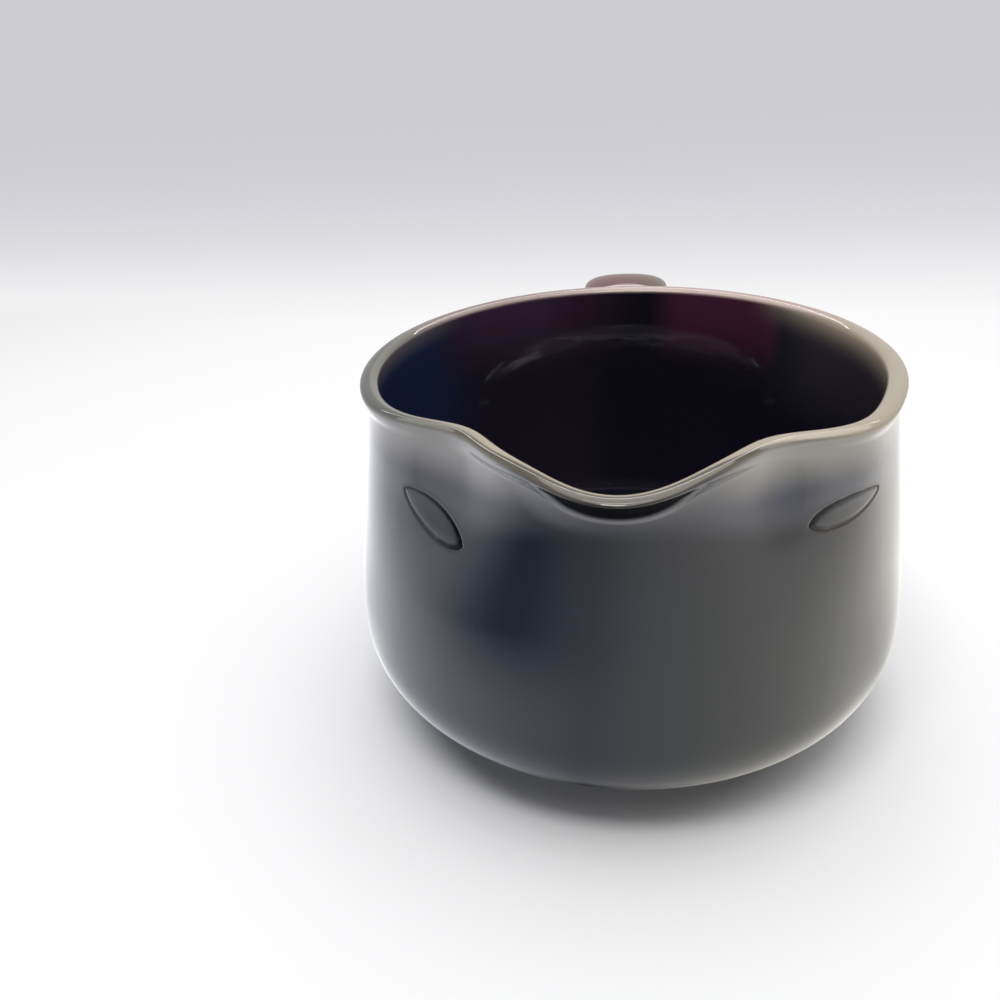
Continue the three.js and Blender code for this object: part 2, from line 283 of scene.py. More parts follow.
# The lip's shape: each form moves the wall out or in, most at its angle and at the rim. Given are how far
# it moves the wall, at what angle from the front, how wide it spreads and how far down it reaches.
lip_forms = {
    "Pull": (7.6 * mm, math.radians(-1.2), math.radians(13.2), 8.7 * mm),
    "Left pinch": (-5.1 * mm, math.radians(-38.8), math.radians(14.6), 26 * mm),
    "Right pinch": (-4 * mm, math.radians(31.8), math.radians(13.5), 26 * mm),
    "Shoulder": (0.9 * mm, math.radians(51.4), math.radians(11.7), 26 * mm),
}
lip_still_band = 0.8 * mm

# The hollows themselves, and how rough the glaze is and how much painted shade it takes in them and close
# round them
on_outside = (row_run < neck_at)[:, None]
hollow = np.zeros((len(rows), len(columns)))
rough_and_shaded = np.zeros((len(rows), len(columns)))
for mark in (left_mark, right_mark):
    depth_in = inside_leaf(mark, columns[None, :], rows[:, 1:]) + hollow_margin
    hollow = np.maximum(hollow, soft_step(depth_in / hollow_edge) * on_outside)
    rough_and_shaded = np.maximum(rough_and_shaded, soft_step(depth_in / rough_and_shaded_edge + 1) * on_outside)

# How steeply the wall leans out under the pulled lip, and from what lean a dull black glaze paints shade
# there
overhang_from = 0.72
overhang_full = 0.80
pull_shift, pull_angle, pull_spread, pull_reach = lip_forms["Pull"]
lean = np.clip(1 - (rim_height - rows[:, 1:] - lip_still_band) / pull_reach, 0, 1)
lean = lean * 2 * pull_shift / pull_reach * (row_run[:, None] < brim_at)
lean = lean * np.exp(-(((columns[None, :] - pull_angle) / pull_spread) ** 2))

# The back of the coat lies on the clay, and is plainer than its front
back_stride = 5
back = (rows - row_side * (coat_thickness + bead[:, None]))[::-1][::back_stride]
coat_radius = np.vstack([rows[:, :1] - hollow_depth * hollow, np.repeat(back[:, :1], len(columns), axis=1)])
coat_height = np.concatenate([rows[:, 1], back[:, 1]])[:, None]
coat = skin(
    "glaze_coat",
    turned(coat_radius, columns[None, :], coat_height),
    looped=True,
    lining=np.concatenate([in_lining, np.zeros(len(back))])[:, None],
    rim_place=np.concatenate([row_run - brim_at, np.full(len(back), -1.0)])[:, None],
    crevice=np.vstack([rough_and_shaded, np.zeros((len(back), len(columns)))]),
    overhang=np.vstack([lean, np.zeros((len(back), len(columns)))]),
)


def put(tree, kind, *inputs, **settings):
    """One node of a tree, with its settings, and values or links for its sockets in their order."""
    node = tree.nodes.new(kind)
    for setting, value in settings.items():
        setattr(node, setting, value)
    for socket, value in zip(node.inputs, inputs):
        if isinstance(value, bpy.types.NodeSocket):
            tree.links.new(value, socket)
        elif value is not None:
            socket.default_value = value
    return node


def work_out(tree, operation, *values):
    """The result of one math node."""
    return put(tree, "ShaderNodeMath", *values, operation=operation).outputs[0]


def times(tree, first, *others):
    """The product of several values."""
    for other in others:
        first = work_out(tree, "MULTIPLY", first, other)
    return first


def less(tree, first, second):
    """The first value less the second."""
    return work_out(tree, "SUBTRACT", first, second)


form_sizes = ("shift", "angle", "spread", "reach")


def lip_tree():
    """Geometry nodes that pull and pinch a wall about the turning axis, by named sizes."""
    tree = bpy.data.node_groups.new("pull_the_lip", "GeometryNodeTree")
    face = tree.interface
    face.new_socket("Geometry", in_out="INPUT", socket_type="NodeSocketGeometry")
    face.new_socket("Geometry", in_out="OUTPUT", socket_type="NodeSocketGeometry")
    names = ["Rim height", "Still band"] + [f"{form} {size}" for form in lip_forms for size in form_sizes]
    for name in names:
        face.new_socket(name, in_out="INPUT", socket_type="NodeSocketFloat")
    face.new_socket("Glaze", in_out="INPUT", socket_type="NodeSocketMaterial")
    given = put(tree, "NodeGroupInput").outputs
    place = put(tree, "GeometryNodeInputPosition").outputs[0]
    x, y, z = put(tree, "ShaderNodeSeparateXYZ", place).outputs
    turn = work_out(tree, "ARCTAN2", x, times(tree, y, -1.0))
    below = less(tree, less(tree, given["Rim height"], z), given["Still band"])
    below = work_out(tree, "MAXIMUM", below, 0.0)
    total = 0.0
    for form in lip_forms:
        shift, angle, spread, reach = (given[f"{form} {size}"] for size in form_sizes)
        fade = less(tree, 1.0, work_out(tree, "DIVIDE", below, reach))
        fade = work_out(tree, "POWER", work_out(tree, "MAXIMUM", fade, 0.0), 2.0)
        apart = work_out(tree, "DIVIDE", less(tree, turn, angle), spread)
        swell = work_out(tree, "EXPONENT", times(tree, apart, apart, -1.0))
        total = work_out(tree, "MULTIPLY_ADD", times(tree, fade, swell), shift, total)
    aside = times(tree, total, work_out(tree, "SINE", turn))
    ahead = times(tree, total, times(tree, work_out(tree, "COSINE", turn), -1.0))
    offset = put(tree, "ShaderNodeCombineXYZ", aside, ahead, 0.0).outputs[0]
    moved = put(tree, "GeometryNodeSetPosition", given["Geometry"], None, None, offset).outputs[0]
    real = put(tree, "GeometryNodeRealizeInstances", moved).outputs[0]
    glazed = put(tree, "GeometryNodeSetMaterial", real, None, given["Glaze"]).outputs[0]
    put(tree, "NodeGroupOutput", glazed)
    return tree


def pull_lip(piece, material):
    """Gives a piece of the wall the lip's shape, as a plain mesh, and moves it to the turning axis."""
    sizes = {"Rim height": rim_height, "Still band": lip_still_band, "Glaze": material}
    for form, values in lip_forms.items():
        sizes.update({f"{form} {size}": value for size, value in zip(form_sizes, values)})
    change = piece.modifiers.new("lip", "NODES")
    change.node_group = lip_shape
    for item in lip_shape.interface.items_tree:
        if item.in_out == "INPUT" and item.name in sizes:
            change[item.identifier] = sizes[item.name]
    shaped = bpy.data.meshes.new_from_object(piece.evaluated_get(bpy.context.evaluated_depsgraph_get()))
    piece.modifiers.clear()
    piece.data = shaped
    shaped.transform(Matrix.Translation((0, axis_y, 0)))


lip_shape = lip_tree()


# The glaze itself. It is near black where it lies thick, and breaks over edges to olive, and to rose
# brown at the back; the lining has dark red clouds in a band below the rim and is navy at one side.
black = (0.0080, 0.0095, 0.0155)
black_green = (0.0090, 0.0125, 0.0145)
black_blue = (0.0095, 0.0160, 0.0335)
# Painted shade: a dull near black glaze for under the lip and the grooves round the marks
shade_black = (0.0025, 0.0028, 0.0050)
# Painted sheen and painted reflection for the outside below the rim
sheen_grey = (0.083, 0.086, 0.106)
reflected_grey = (0.315, 0.313, 0.315)
reflected_warm = (0.325, 0.312, 0.278)
lining_black = (0.0120, 0.0100, 0.0200)
lining_navy = (0.0240, 0.0400, 0.1120)
lining_dusk = (0.0215, 0.0165, 0.0310)
lining_plum = (0.0460, 0.0200, 0.0470)
lining_mauve = (0.0640, 0.0330, 0.0680)
lining_red = (0.0980, 0.0260, 0.0560)
lining_grey = (0.0700, 0.0620, 0.0820)
lining_olive = (0.960, 0.800, 0.590)
olive = (0.082, 0.067, 0.040)
# Painted shade: the shaded colours are darker copies of the rim's colours for its left and back left
olive_shaded = (0.072, 0.076, 0.064)
beige = (0.370, 0.315, 0.235)
beige_shaded = (0.160, 0.152, 0.130)
rose_brown = (0.410, 0.295, 0.260)
rose_shaded = (0.225, 0.152, 0.137)
# Painted shade in and round the marks
mark_shade_navy = (0.008, 0.012, 0.028)
mark_shade_olive = (0.045, 0.043, 0.034)


def shader(name):
    """A new material, its tree, its principled shader and object coordinates about the turning axis."""
    material = bpy.data.materials.new(name)
    material.use_nodes = True
    tree = material.node_tree
    surface = tree.nodes["Principled BSDF"]
    place = put(tree, "ShaderNodeTexCoord").outputs["Object"]
    place = put(tree, "ShaderNodeMapping", place, (0, -axis_y, 0)).outputs[0]
    return material, tree, surface, place


def noise(tree, place, scale, detail=2.0, roughness=0.5):
    """Even cloudy noise, from about 0 to 1."""
    node = put(tree, "ShaderNodeTexNoise")
    tree.links.new(place, node.inputs["Vector"])
    node.inputs["Scale"].default_value = scale
    node.inputs["Detail"].default_value = detail
    node.inputs["Roughness"].default_value = roughness
    return node.outputs[0]


def ramp(tree, value, low, high, rise="SMOOTHSTEP"):
    """0 at the first place given and 1 at the second, with a smooth rise between."""
    return put(tree, "ShaderNodeMapRange", value, low, high, 0.0, 1.0, interpolation_type=rise).outputs[0]


def blend_colours(tree, share, first, second):
    """One colour blended into another."""
    node = put(tree, "ShaderNodeMix", data_type="RGBA")
    for socket, value in ((node.inputs[0], share), (node.inputs[6], first), (node.inputs[7], second)):
        if isinstance(value, bpy.types.NodeSocket):
            tree.links.new(value, socket)
        elif isinstance(value, tuple):
            socket.default_value = (*value, 1)
        else:
            socket.default_value = value
    return node.outputs[2]


def attribute(tree, name):
    """A value kept on the mesh's points."""
    return put(tree, "ShaderNodeAttribute", attribute_name=name).outputs["Fac"]


# The gloss: sizes of its waves, ripples and pinholes, and how rough it is
wave_scale = 90
ripple_scale = 420
ripple_share = 0.08
pinhole_scale = 240.0
pinhole_size = (0.03, 0.10)
pinhole_share = 0.10
gloss_relief = 0.05 * mm
gloss_scale = 160
gloss_rough = 0.035
gloss_varied = 0.05
worn_rough = 0.35
rim_polish = 0.75
glaze_index = 1.55


def finish_glaze(tree, surface, place, colour, crevice, index=glaze_index, sharp=0.0):
    """The gloss of fired glaze: glassy, a little wavy, with a pinhole here and there."""
    tree.links.new(colour, surface.inputs["Base Color"])
    surface.inputs["IOR"].default_value = index
    wave = noise(tree, place, wave_scale, detail=3.0)
    ripple = noise(tree, place, ripple_scale, detail=1.0)
    speck = put(tree, "ShaderNodeTexVoronoi", place, None, pinhole_scale).outputs[0]
    pinhole = less(tree, 1.0, ramp(tree, speck, *pinhole_size))
    height = work_out(tree, "MULTIPLY_ADD", ripple, ripple_share, wave)
    height = work_out(tree, "MULTIPLY_ADD", pinhole, -pinhole_share, height)
    bump = put(tree, "ShaderNodeBump")
    bump.inputs["Strength"].default_value = 1.0
    bump.inputs["Distance"].default_value = gloss_relief
    tree.links.new(height, bump.inputs["Height"])
    tree.links.new(bump.outputs[0], surface.inputs["Normal"])
    rough = work_out(tree, "MULTIPLY_ADD", noise(tree, place, gloss_scale), gloss_varied, gloss_rough)
    rough = work_out(tree, "MULTIPLY_ADD", crevice, worn_rough, rough)
    rough = times(tree, rough, work_out(tree, "MULTIPLY_ADD", sharp, -rim_polish, 1.0))
    tree.links.new(rough, surface.inputs["Roughness"])


# Where each colour of the lining sets in: none of it at the first place and all of it at the second.
# x runs to the right, y to the back and z up, from the turning axis at the table.
red_wander = 6 * mm
red_z = (46 * mm, 56 * mm)
red_y = (0.0, 20 * mm)
left_cloud_x = (-36 * mm, -27 * mm)
left_cloud_end_x = (4 * mm, -12 * mm)
right_cloud_x = (3 * mm, 10 * mm)
right_cloud_end_x = (29 * mm, 26.5 * mm)
dusk_x = (0.0, -12 * mm)
navy_x = (-27 * mm, -38 * mm)
mauve_x = (-8 * mm, -18 * mm)
red_x = (0.0, 14 * mm)
grey_x = (24 * mm, 36 * mm)
grey_z = (36 * mm, 56 * mm)
olive_right_x = (22 * mm, 38 * mm)
olive_right_z = (crown_height - 6.4 * mm, crown_height)
olive_left_x = (-28 * mm, -40 * mm)
olive_left_z = (rim_height - 4.5 * mm, rim_height)
olive_left_share = 0.22


def lining_colour(tree, x, y, z, cloud):
    """Colour of the lining: red clouds behind, navy at the left, and olive up to the rim at the sides."""
    wander = work_out(tree, "MULTIPLY_ADD", cloud, red_wander, -red_wander / 2)
    wandered = work_out(tree, "ADD", x, wander)
    left_cloud = times(tree, ramp(tree, wandered, *left_cloud_x), ramp(tree, wandered, *left_cloud_end_x))
    right_cloud = times(tree, ramp(tree, wandered, *right_cloud_x), ramp(tree, x, *right_cloud_end_x))
    red = times(
        tree,
        ramp(tree, work_out(tree, "ADD", z, wander), *red_z),
        work_out(tree, "ADD", left_cloud, right_cloud),
        ramp(tree, y, *red_y),
    )
    lined = blend_colours(tree, ramp(tree, x, *dusk_x), lining_black, lining_dusk)
    lined = blend_colours(tree, ramp(tree, x, *navy_x), lined, lining_navy)
    clouds = blend_colours(tree, ramp(tree, x, *mauve_x), lining_plum, lining_mauve)
    clouds = blend_colours(tree, ramp(tree, x, *red_x), clouds, lining_red)
    lined = blend_colours(tree, red, lined, clouds)
    greyed = times(tree, ramp(tree, x, *grey_x), ramp(tree, z, *grey_z))
    lined = blend_colours(tree, greyed, lined, lining_grey)
    near_rim = work_out(tree, "POWER", ramp(tree, z, *olive_right_z, rise="LINEAR"), 3.0)
    lined = blend_colours(tree, times(tree, ramp(tree, x, *olive_right_x), near_rim), lined, lining_olive)
    near_rim = times(tree, ramp(tree, x, *olive_left_x), ramp(tree, z, *olive_left_z), olive_left_share)
    return blend_colours(tree, near_rim, lined, lining_olive)


# The same for the outside, with a painted sheen that pales it towards the rim but not on the lip. A painted
# reflection line runs below the painted shade under the lip, where the wall leans out by so much.
green_cloud = (0.45, 0.65)
blue_x = (16 * mm, -20 * mm)
sheen_lift = 3.5 * mm
sheen_lift_y = (-44 * mm, -34 * mm)
sheen_z = (52 * mm, 57 * mm)
sheen_y = (-50 * mm, -36 * mm)
pale_sheen_z = (54.5 * mm, 60 * mm)
pale_sheen_y = (-43 * mm, -34 * mm)
warm_x = (-12 * mm, 12 * mm)
reflection_line = (0.50, 0.58)
reflection_line_end = (overhang_from, 0.64)
reflection_line_share = 0.5


def outside_colour(tree, x, y, z, cloud, overhang):
    """Colour of the outside: black with green and blue in it, a painted sheen below the rim and a painted
    reflection line under the lip.
    """
    body = blend_colours(tree, ramp(tree, cloud, *green_cloud), black, black_green)
    body = blend_colours(tree, ramp(tree, x, *blue_x), body, black_blue)
    lifted = work_out(tree, "MULTIPLY_ADD", ramp(tree, y, *sheen_lift_y), sheen_lift, z)
    sheen = times(tree, ramp(tree, lifted, *sheen_z), ramp(tree, y, *sheen_y))
    body = blend_colours(tree, sheen, body, sheen_grey)
    pale_sheen_colour = blend_colours(tree, ramp(tree, x, *warm_x), reflected_grey, reflected_warm)
    pale_sheen = times(tree, ramp(tree, z, *pale_sheen_z), ramp(tree, y, *pale_sheen_y))
    body = blend_colours(tree, pale_sheen, body, pale_sheen_colour)
    # Painted reflection line below the lip
    reflected = times(tree, ramp(tree, overhang, *reflection_line), ramp(tree, overhang, *reflection_line_end))
    return blend_colours(tree, times(tree, reflected, reflection_line_share), body, reflected_grey)


# On the rim, distances run across its dome from the outside edge. The beige begins at one distance,
# which is less at the right and the back and more at the left and on the lip.
rim_drift = 0.5 * mm
shaded_x = (-16 * mm, -38 * mm)
shaded_back_x = (2 * mm, -22 * mm)
rose_y = (4 * mm, 34 * mm)
beige_start = 1.5 * mm
beige_less_x = (8 * mm, 36 * mm)
beige_less = 1.5 * mm
beige_more = 0.8 * mm
beige_less_y = (0.0, 34 * mm)
beige_less_back = 1.2 * mm
beige_more_y = (-32 * mm, -42 * mm)
olive_edge = (0.1 * mm, 1.0 * mm)
beige_edge = (-0.25 * mm, 0.35 * mm)
lining_edge = (0.35 * mm, -0.25 * mm)
polish_edge = (-0.4 * mm, 0.1 * mm)


def rim_colour(tree, x, y, drift, colour, lined):
    """The colours of the outside and the lining, with the broken glaze of the rim over their edges."""
    rim_place = attribute(tree, "rim_place")
    beige_from = work_out(tree, "MULTIPLY_ADD", ramp(tree, x, *beige_less_x), -beige_less, beige_start)
    beige_from = work_out(tree, "MULTIPLY_ADD", ramp(tree, x, *shaded_x), beige_more, beige_from)
    beige_from = work_out(tree, "MULTIPLY_ADD", ramp(tree, y, *beige_less_y), -beige_less_back, beige_from)
    beige_from = work_out(tree, "MULTIPLY_ADD", ramp(tree, y, *beige_more_y), beige_more, beige_from)
    across = work_out(tree, "MULTIPLY_ADD", drift, rim_drift, rim_place)
    to_inside = less(tree, dome_run, rim_place)
    # Painted shade: the rim's colours go over to darker copies at the left and at the back left
    thin = blend_colours(tree, ramp(tree, x, *shaded_x), beige, beige_shaded)
    at_back = blend_colours(tree, ramp(tree, x, *shaded_back_x), rose_brown, rose_shaded)
    thin = blend_colours(tree, ramp(tree, y, *rose_y), thin, at_back)
    edge = blend_colours(tree, ramp(tree, x, *shaded_x), olive, olive_shaded)
    colour = blend_colours(tree, ramp(tree, across, *olive_edge), colour, edge)
    colour = blend_colours(tree, ramp(tree, less(tree, across, beige_from), *beige_edge), colour, thin)
    colour = blend_colours(tree, ramp(tree, to_inside, *lining_edge), colour, lined)
    polished = times(tree, ramp(tree, rim_place, *polish_edge), ramp(tree, to_inside, *polish_edge))
    return colour, polished


# How fine the clouds in the glaze are, and the drift of its edges on the rim
cloud_scale = 26
drift_scale = 55

# Painted shade in and round the two marks, navy at the left and olive at the right, and a dull near black
# glaze that paints shade under the lip and, broken up, in the grooves round the marks
mark_shade_x = (-5 * mm, 5 * mm)
mark_shade_share = 0.75
shade_index = 1.1
shade_rough = 0.5
broken_scale = 450
broken_edge = (0.15, 0.50)


def coat_material():
    """The glaze of the bowl, outside, rim and lining."""
    material, tree, surface, place = shader("black_glaze")
    x, y, z = put(tree, "ShaderNodeSeparateXYZ", place).outputs
    crevice = attribute(tree, "crevice")
    overhang = attribute(tree, "overhang")
    cloud = noise(tree, place, cloud_scale, detail=4.0)
    drift = noise(tree, place, drift_scale, detail=3.0)
    lined = lining_colour(tree, x, y, z, cloud)
    body = outside_colour(tree, x, y, z, cloud, overhang)
    colour = blend_colours(tree, attribute(tree, "lining"), body, lined)
    colour, polished = rim_colour(tree, x, y, drift, colour, lined)
    # Painted shade in and round the two marks, fainter over the dabs
    mark_shade = blend_colours(tree, ramp(tree, x, *mark_shade_x), mark_shade_navy, mark_shade_olive)
    colour = blend_colours(tree, times(tree, crevice, mark_shade_share), colour, mark_shade)
    finish_glaze(tree, surface, place, colour, crevice, sharp=polished)
    # A dull near black glaze that paints shade under the lip and, broken up, in the grooves round the marks
    shade_glaze = put(tree, "ShaderNodeBsdfPrincipled")
    shade_glaze.inputs["Base Color"].default_value = (*shade_black, 1)
    shade_glaze.inputs["IOR"].default_value = shade_index
    shade_glaze.inputs["Roughness"].default_value = shade_rough
    broken = ramp(tree, noise(tree, place, broken_scale, detail=3.0), *broken_edge)
    beside_dab = times(tree, attribute(tree, "gathered"), broken)
    under_lip = ramp(tree, overhang, overhang_from, overhang_full)
    gathered = work_out(tree, "MAXIMUM", under_lip, beside_dab)
    both = put(tree, "ShaderNodeMixShader", gathered, surface.outputs[0], shade_glaze.outputs[0])
    tree.links.new(both.outputs[0], tree.nodes["Material Output"].inputs["Surface"])
    return material


black_glaze = coat_material()
pull_lip(coat, black_glaze)
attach(coat, "root")
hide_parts("glaze_outside", "glaze_rim", "glaze_inside")

# The two leaf-shaped marks are where fingers held the pot for dipping. Each bare place was closed
# afterwards with a dab of the same glaze, which leaves a fine sunk line round it.
dab_crown = 0.03 * mm
dab_bottom = 0.34 * mm
groove_depth = 0.07 * mm
groove_side = 0.70 * mm
groove_round_end = 1.5 * mm
groove_point = 0.5 * mm
dab_turns = 180
# How dull the whole dab is; it also takes this share of the painted shade in and round the marks
dull_shaded_dab = 0.45

# How much painted shade the groove gets half way along each edge, and how much more at the round end
upper_dark = (0.62, 0.38)
lower_dark = (0.30, 0.45)

# From the middle underneath, out to the rim and back over the groove to the middle on top: how far out
# each ring lies, as a share of the inner leaf up to 1 and of the groove from 1 to 2, and its depth
dab_rings = [
    (0.0, dab_bottom),
    (0.25, dab_bottom),
    (0.5, dab_bottom),
    (0.75, dab_bottom),
    (1.0, dab_bottom),
    (1.5, dab_bottom),
    (1.96, dab_bottom),
    (2.0, dab_bottom - 0.02 * mm),
    (2.0, groove_depth + 0.01 * mm),
    (1.8, groove_depth),
    (1.6, groove_depth),
    (1.4, 0.75 * groove_depth),
    (1.2, 0.35 * groove_depth),
    (1.05, 0.08 * groove_depth),
    (0.92, -0.5 * dab_crown),
    (0.75, -0.9 * dab_crown),
    (0.5, -dab_crown),
    (0.25, -dab_crown),
    (0.0, -dab_crown),
]


def outside_at(height):
    """Radius of the outside wall at a height, before the lip is pulled."""
    return np.interp(height, outside[:, 1], outside[:, 0])


def dab(name, mark):
    """A dab of glaze that fills a mark's hollow but for a groove round its edge."""
    around = np.linspace(0, 2 * math.pi, dab_turns, endpoint=False)
    share = np.cos(around)
    side = np.sign(np.sin(around)) * leaf_half(share)
    whole = np.column_stack([share * mark["length"] / 2, side * mark["height"]])
    inner_length = mark["length"] - groove_round_end - groove_point
    inner_middle = (groove_point - groove_round_end) / 2
    inner_height = mark["height"] - 2 * groove_side
    inner = np.column_stack([share * inner_length / 2 + inner_middle, side * inner_height])
    middle = np.array([inner_middle, 0])
    rings = []
    for reach, depth in dab_rings:
        flat = middle + (inner - middle) * min(reach, 1) + (whole - inner) * max(reach - 1, 0)
        along = mark["round_end"] * flat[:, 0]
        sideways = along * math.cos(mark["tilt"]) - flat[:, 1] * math.sin(mark["tilt"])
        up = along * math.sin(mark["tilt"]) + flat[:, 1] * math.cos(mark["tilt"])
        height = rim_height - mark["drop"] + up
        rings.append(turned(outside_at(height) - depth, mark["angle"] + sideways / neck_radius, height))
    depths = np.array([depth for _, depth in dab_rings])[:, None]
    sunk = soft_step(depths / groove_depth) * (depths < dab_bottom)
    # Painted shade in the groove, most along the upper edge and towards the round end
    dark = np.where(side > 0, upper_dark[0] + upper_dark[1] * share, lower_dark[0] + lower_dark[1] * share)
    gathered = sunk * np.clip(dark * mark["dark"], 0, 1)
    crevice = np.maximum(sunk, dull_shaded_dab)
    return skin(name, np.array(rings), lining=0, rim_place=-1, crevice=crevice, gathered=gathered)


for name, mark in (("dab_left", left_mark), ("dab_right", right_mark)):
    piece = dab(name, mark)
    pull_lip(piece, black_glaze)
    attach(piece, "root")
    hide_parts("glaze_mark_left" if mark is left_mark else "glaze_mark_right")

# The handle: a strap of clay pulled by hand, oval in section, whose two ends were pressed and worked
# into the wall with slip before the dip, so that the glaze runs over strap and roots in one.
strap_width_upper = 17 * mm
strap_width_lower = 14 * mm
strap_thickness_upper = 5.6 * mm
strap_thickness_lower = 5 * mm
strap_coat = 0.45 * mm
strap_bluntness = 0.8
upper_root_drop = 10.3 * mm
upper_root_slope = math.radians(42)
upper_root_run = 5.5 * mm
crown_out = 12 * mm
crown_drop = 1.8 * mm
back_out = 19.6 * mm
back_height = 42 * mm
strap_fullness = 0.56
lower_root_height = 20 * mm
lower_root_slope = math.radians(24)
lower_root_run = 12 * mm
root_sink = 2 * mm
root_flare = 2.6 * mm
root_length = 4.4 * mm
root_tuck = 0.25 * mm
root_middle_tuck = 1 * mm
root_hollow = 0.72
strap_sides = 64
strap_steps = 110
root_steps = 14
meeting_tries = 40
least_slope = 0.2

upper_root = np.array([outside_at(rim_height - upper_root_drop) - root_sink, rim_height - upper_root_drop])
lower_root = np.array([outside_at(lower_root_height) - root_sink, lower_root_height])
strap_crown = np.array([rim_radius + crown_out, rim_height - crown_drop - strap_thickness_upper / 2])
strap_back = np.array([belly_radius + back_out, back_height])
crown_run = strap_fullness * (strap_back[0] - strap_crown[0])
leave_wall = np.array([math.cos(upper_root_slope), math.sin(upper_root_slope)])
meet_belly = np.array([math.cos(lower_root_slope), math.sin(lower_root_slope)])
strap_line = np.vstack([
    bezier(upper_root, upper_root + upper_root_run * leave_wall, strap_crown - (crown_run, 0), strap_crown),
    bezier(
        strap_crown,
        strap_crown + (crown_run, 0),
        strap_back + (0, strap_fullness * (strap_crown[1] - strap_back[1])),
        strap_back,
    )[1:],
    bezier(
        strap_back,
        strap_back - (0, strap_fullness * (strap_back[1] - lower_root[1])),
        lower_root + lower_root_run * meet_belly,
        lower_root,
    )[1:],
])
strap_run = run_of(strap_line)
strap_along = np.gradient(strap_line, axis=0)
strap_along /= np.linalg.norm(strap_along, axis=1)[:, None]
strap_around = np.linspace(0, 2 * math.pi, strap_sides, endpoint=False)


def blunt(value):
    """Makes a round outline a little squarer."""
    return np.sign(value) * np.abs(value) ** strap_bluntness


def strap_ring(run, growth):
    """The strap's outline at a place along it, grown by the glaze over it."""
    centre = at_run([run], strap_run, strap_line)[0]
    along = at_run([run], strap_run, strap_along)[0]
    share = run / strap_run[-1]
    width = strap_width_upper + (strap_width_lower - strap_width_upper) * share
    thickness = strap_thickness_upper + (strap_thickness_lower - strap_thickness_upper) * share
    half_width = width / 2 + growth
    half_thickness = thickness / 2 + growth
    out = half_thickness * blunt(np.sin(strap_around))
    outward = np.array([-along[1], along[0]])
    flat = centre + out[:, None] * outward
    return np.column_stack([half_width * blunt(np.cos(strap_around)), flat])


def on_wall(points, sink=0.0):
    """Points moved along Y onto the outside wall, or a little into it."""
    height = points[:, 2]
    radius = outside_at(height) - sink
    return np.column_stack([points[:, 0], np.sqrt(radius**2 - points[:, 0] ** 2), height])


def root_rings(run, towards):
    """Rings from the strap's outline down a hollow curve onto the wall, and just under the glaze."""
    ring = strap_ring(run, strap_coat)
    along = at_run([run], strap_run, strap_along)[0] * towards
    reach = np.zeros(strap_sides)
    step = np.array([0, *along])
    for _ in range(meeting_tries):
        ahead = ring + reach[:, None] * step
        gap = np.hypot(ahead[:, 0], ahead[:, 1]) - outside_at(ahead[:, 2])
        reach = reach + gap / max(least_slope, abs(along[0]))
    meeting = ring + reach[:, None] * step
    outward = ring - ring.mean(axis=0)
    outward /= np.linalg.norm(outward, axis=1)[:, None]
    landing = on_wall(meeting + root_flare * outward)
    leave = ring + root_hollow * (meeting - ring)
    arrive = landing + root_hollow * (meeting - landing)
    rings = bezier(ring, leave, arrive, landing, root_steps)
    tucked = on_wall(landing, root_tuck)
    middle = np.repeat(on_wall(tucked.mean(axis=0)[None], root_middle_tuck), strap_sides, axis=0)
    return [*rings[1:], tucked, middle]


upper_start = root_sink + root_length
lower_start = strap_run[-1] - root_sink - root_length
strap_rings = [strap_ring(run, strap_coat) for run in np.linspace(upper_start, lower_start, strap_steps)]
handle_rings = np.array(root_rings(upper_start, -1)[::-1] + strap_rings + root_rings(lower_start, 1))


handle_index = 1.36
handle_cloud_scale = 60
handle_rose = (0.152, 0.076, 0.067)
handle_olive = (0.142, 0.098, 0.068)
handle_green_cloud = (0.42, 0.62)
handle_olive_x = (0.0, 8 * mm)
handle_broken_z = (50 * mm, 57 * mm)
handle_wander = 3 * mm


def handle_material():
    """Glaze over the strap: black low down, and broken to rose and olive brown on its crown."""
    material, tree, surface, place = shader("handle_glaze")
    x, _, z = put(tree, "ShaderNodeSeparateXYZ", place).outputs
    cloud = noise(tree, place, handle_cloud_scale, detail=3.0)
    body = blend_colours(tree, ramp(tree, cloud, *handle_green_cloud), black, black_green)
    lifted = work_out(tree, "MULTIPLY_ADD", cloud, handle_wander, z)
    broken = blend_colours(tree, ramp(tree, x, *handle_olive_x), handle_rose, handle_olive)
    colour = blend_colours(tree, ramp(tree, lifted, *handle_broken_z), body, broken)
    finish_glaze(tree, surface, place, colour, 0.0, handle_index)
    return material


handle = skin("glazed_handle", handle_rings)
handle.data.materials.append(handle_material())
handle.data.transform(Matrix.Translation((0, axis_y, 0)))
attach(handle, "root")
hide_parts("handle", "glaze_handle", "handle_joint_upper", "handle_joint_lower")

# The foot ring: turned from the same clay when it was leather hard, and wiped clean of glaze, so that
# it shows the bare buff brown stoneware. Its edges were rounded with a thumb.
foot_width = 3.5 * mm
foot_round = 0.5 * mm
foot_turns = 240
rounding = np.linspace(0, math.pi / 2, 7)
foot_inner = foot_radius - foot_width
foot_section = np.vstack([
    np.column_stack([
        foot_inner + foot_round - foot_round * np.cos(rounding),
        foot_round - foot_round * np.sin(rounding),
    ]),
    np.column_stack([
        foot_radius - foot_round + foot_round * np.sin(rounding),
        foot_round - foot_round * np.cos(rounding),
    ]),
    [[foot_radius, foot_height], [foot_inner, foot_height]],
])


def lathe(name, profile, looped, turns, **attributes):
    """A piece of revolution about the turning axis."""
    angles = np.linspace(-math.pi, math.pi, turns, endpoint=False)
    piece = skin(name, turned(profile[:, :1], angles[None, :], profile[:, 1:]), looped, **attributes)
    piece.data.transform(Matrix.Translation((0, axis_y, 0)))
    return piece


